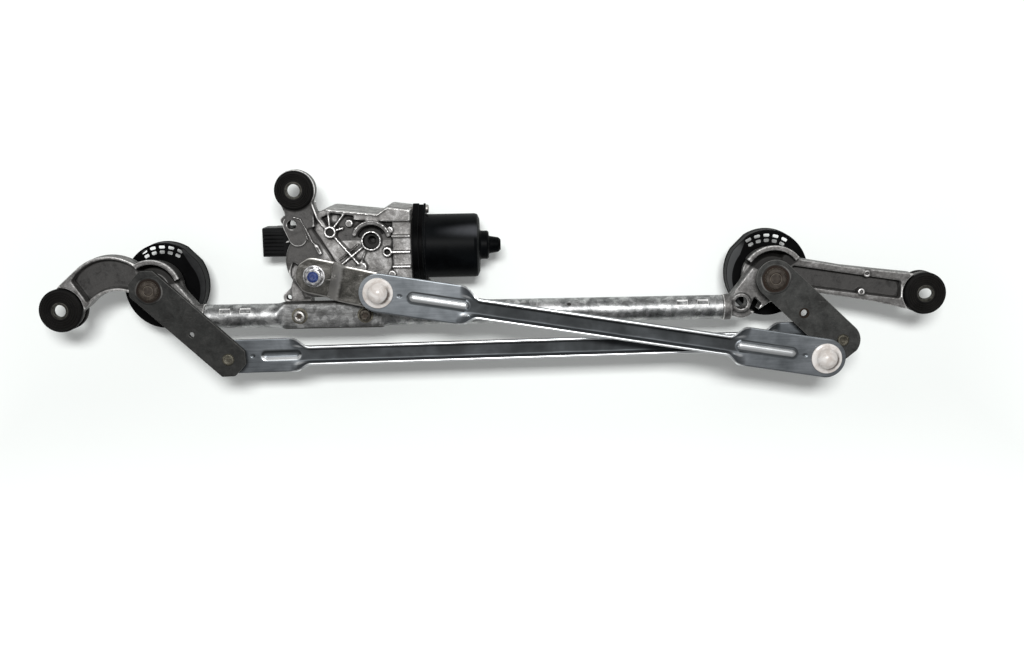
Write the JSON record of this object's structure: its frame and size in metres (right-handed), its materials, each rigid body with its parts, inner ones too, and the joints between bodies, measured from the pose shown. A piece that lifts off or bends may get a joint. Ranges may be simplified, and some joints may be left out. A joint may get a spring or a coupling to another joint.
{
  "type": "wiper linkage",
  "caption": "Geared motor on a steel tube between two cast pivot housings, driving both wiper levers through ball-jointed pressed links.",
  "frame": {"origin": "middle of the base of the overall box, under the frame tube", "axes": "X runs from the left pivot to the right pivot, Y from the links to the motor, Z from the wiper ends of the spindles to the cranks"},
  "size_m": [0.8276, 0.1946, 0.1121],
  "materials": {
    "cast_alloy": "rough cast",
    "tube_zinc": "galvanised, mottled",
    "lever_steel": "dark phosphate coat",
    "link_zinc": "bluish zinc plate",
    "crank_zinc": "olive zinc plate",
    "turned_steel": "turned steel",
    "rubber": "matt",
    "cover_plastic": "moulded",
    "yoke_paint": "semi-gloss black",
    "socket_nylon": "glossy ivory",
    "bronze": "sintered bronze",
    "ferrite": "ground ferrite"
  },
  "bodies": {
    "frame": {"frame_tube": "tube_zinc", "left_pivot_housing": "cast_alloy", "right_pivot_housing": "cast_alloy", "left_upper_bush": "bronze", "left_lower_bush": "bronze", "right_upper_bush": "bronze", "right_lower_bush": "bronze", "left_cover": "cover_plastic", "right_cover": "cover_plastic", "left_grommet": "rubber", "right_grommet": "rubber", "top_grommet": "rubber", "left_spacer": "lever_steel", "right_spacer": "lever_steel", "top_spacer": "lever_steel", "gear_housing": "cast_alloy", "output_bush": "bronze", "gear_cover": "cover_plastic", "cover_screw_1": "turned_steel", "cover_screw_2": "turned_steel", "cover_screw_3": "turned_steel", "motor_yoke": "yoke_paint", "brush_holder": "cover_plastic", "yoke_screw_lower": "turned_steel", "yoke_screw_upper": "turned_steel", "upper_magnet": "ferrite", "lower_magnet": "ferrite", "rear_bush": "bronze", "tube_screw_left": "turned_steel", "tube_screw_right": "turned_steel"},
    "right_crank": {"right_lever": "lever_steel", "right_spindle": "turned_steel", "right_circlip": "turned_steel", "right_washer": "turned_steel", "right_front_ball_stud": "turned_steel", "right_rear_ball_stud": "turned_steel"},
    "left_crank": {"left_lever": "lever_steel", "left_spindle": "turned_steel", "left_circlip": "turned_steel", "left_washer": "turned_steel", "left_stud_rivet": "turned_steel"},
    "motor_crank": {"motor_crank_arm": "crank_zinc", "motor_stud_rivet": "turned_steel", "crank_nut": "turned_steel", "output_shaft": "turned_steel", "worm_wheel": "socket_nylon"},
    "armature": {"armature_shaft": "turned_steel", "armature_core": "lever_steel", "commutator": "bronze"},
    "drive_link": {"drive_link": "link_zinc", "drive_link_right_socket": "socket_nylon", "drive_link_motor_socket": "socket_nylon", "motor_ball_stud": "turned_steel"},
    "tie_link": {"tie_link": "link_zinc", "tie_link_right_socket": "cover_plastic", "tie_link_left_socket": "cover_plastic", "left_ball_stud": "turned_steel"}
  },
  "joints": [
    {"name": "right_pivot_turn", "type": "hinge", "parent": "frame", "child": "right_crank", "pos_m": [0.2553, -0.00865, 0.0905], "axis": [0, 0, 1], "range_deg": [-92.5, 0]},
    {"name": "left_pivot_turn", "type": "hinge", "parent": "frame", "child": "left_crank", "pos_m": [-0.3077, -0.00865, 0.0905], "axis": [0, 0, 1], "range_deg": [-81.5, 0]},
    {"name": "motor_crank_turn", "type": "hinge", "parent": "frame", "child": "motor_crank", "pos_m": [-0.1603, 0.00055, 0.0905], "axis": [0, 0, 1], "continuous": true},
    {"name": "armature_spin", "type": "hinge", "parent": "frame", "child": "armature", "pos_m": [-0.1603, 0.02255, 0.045], "axis": [1, 0, 0], "continuous": true},
    {"name": "drive_link_swivel", "type": "hinge", "parent": "right_crank", "child": "drive_link", "pos_m": [0.30008, -0.08031, 0.102], "axis": [0, 0, 1], "range_deg": [0, 95]},
    {"name": "tie_link_swivel", "type": "hinge", "parent": "right_crank", "child": "tie_link", "pos_m": [0.31693, -0.06572, 0.0765], "axis": [0, 0, 1], "range_deg": [0, 94]}
  ],
  "couplings": [
    {"joint": "left_pivot_turn", "follows": "right_pivot_turn", "ratio": 0.87857},
    {"joint": "motor_crank_turn", "follows": "right_pivot_turn", "ratio": 1.8316},
    {"joint": "armature_spin", "follows": "right_pivot_turn", "ratio": 82.42},
    {"joint": "drive_link_swivel", "follows": "right_pivot_turn", "ratio": -1.0209},
    {"joint": "tie_link_swivel", "follows": "right_pivot_turn", "ratio": -1.0121}
  ]
}
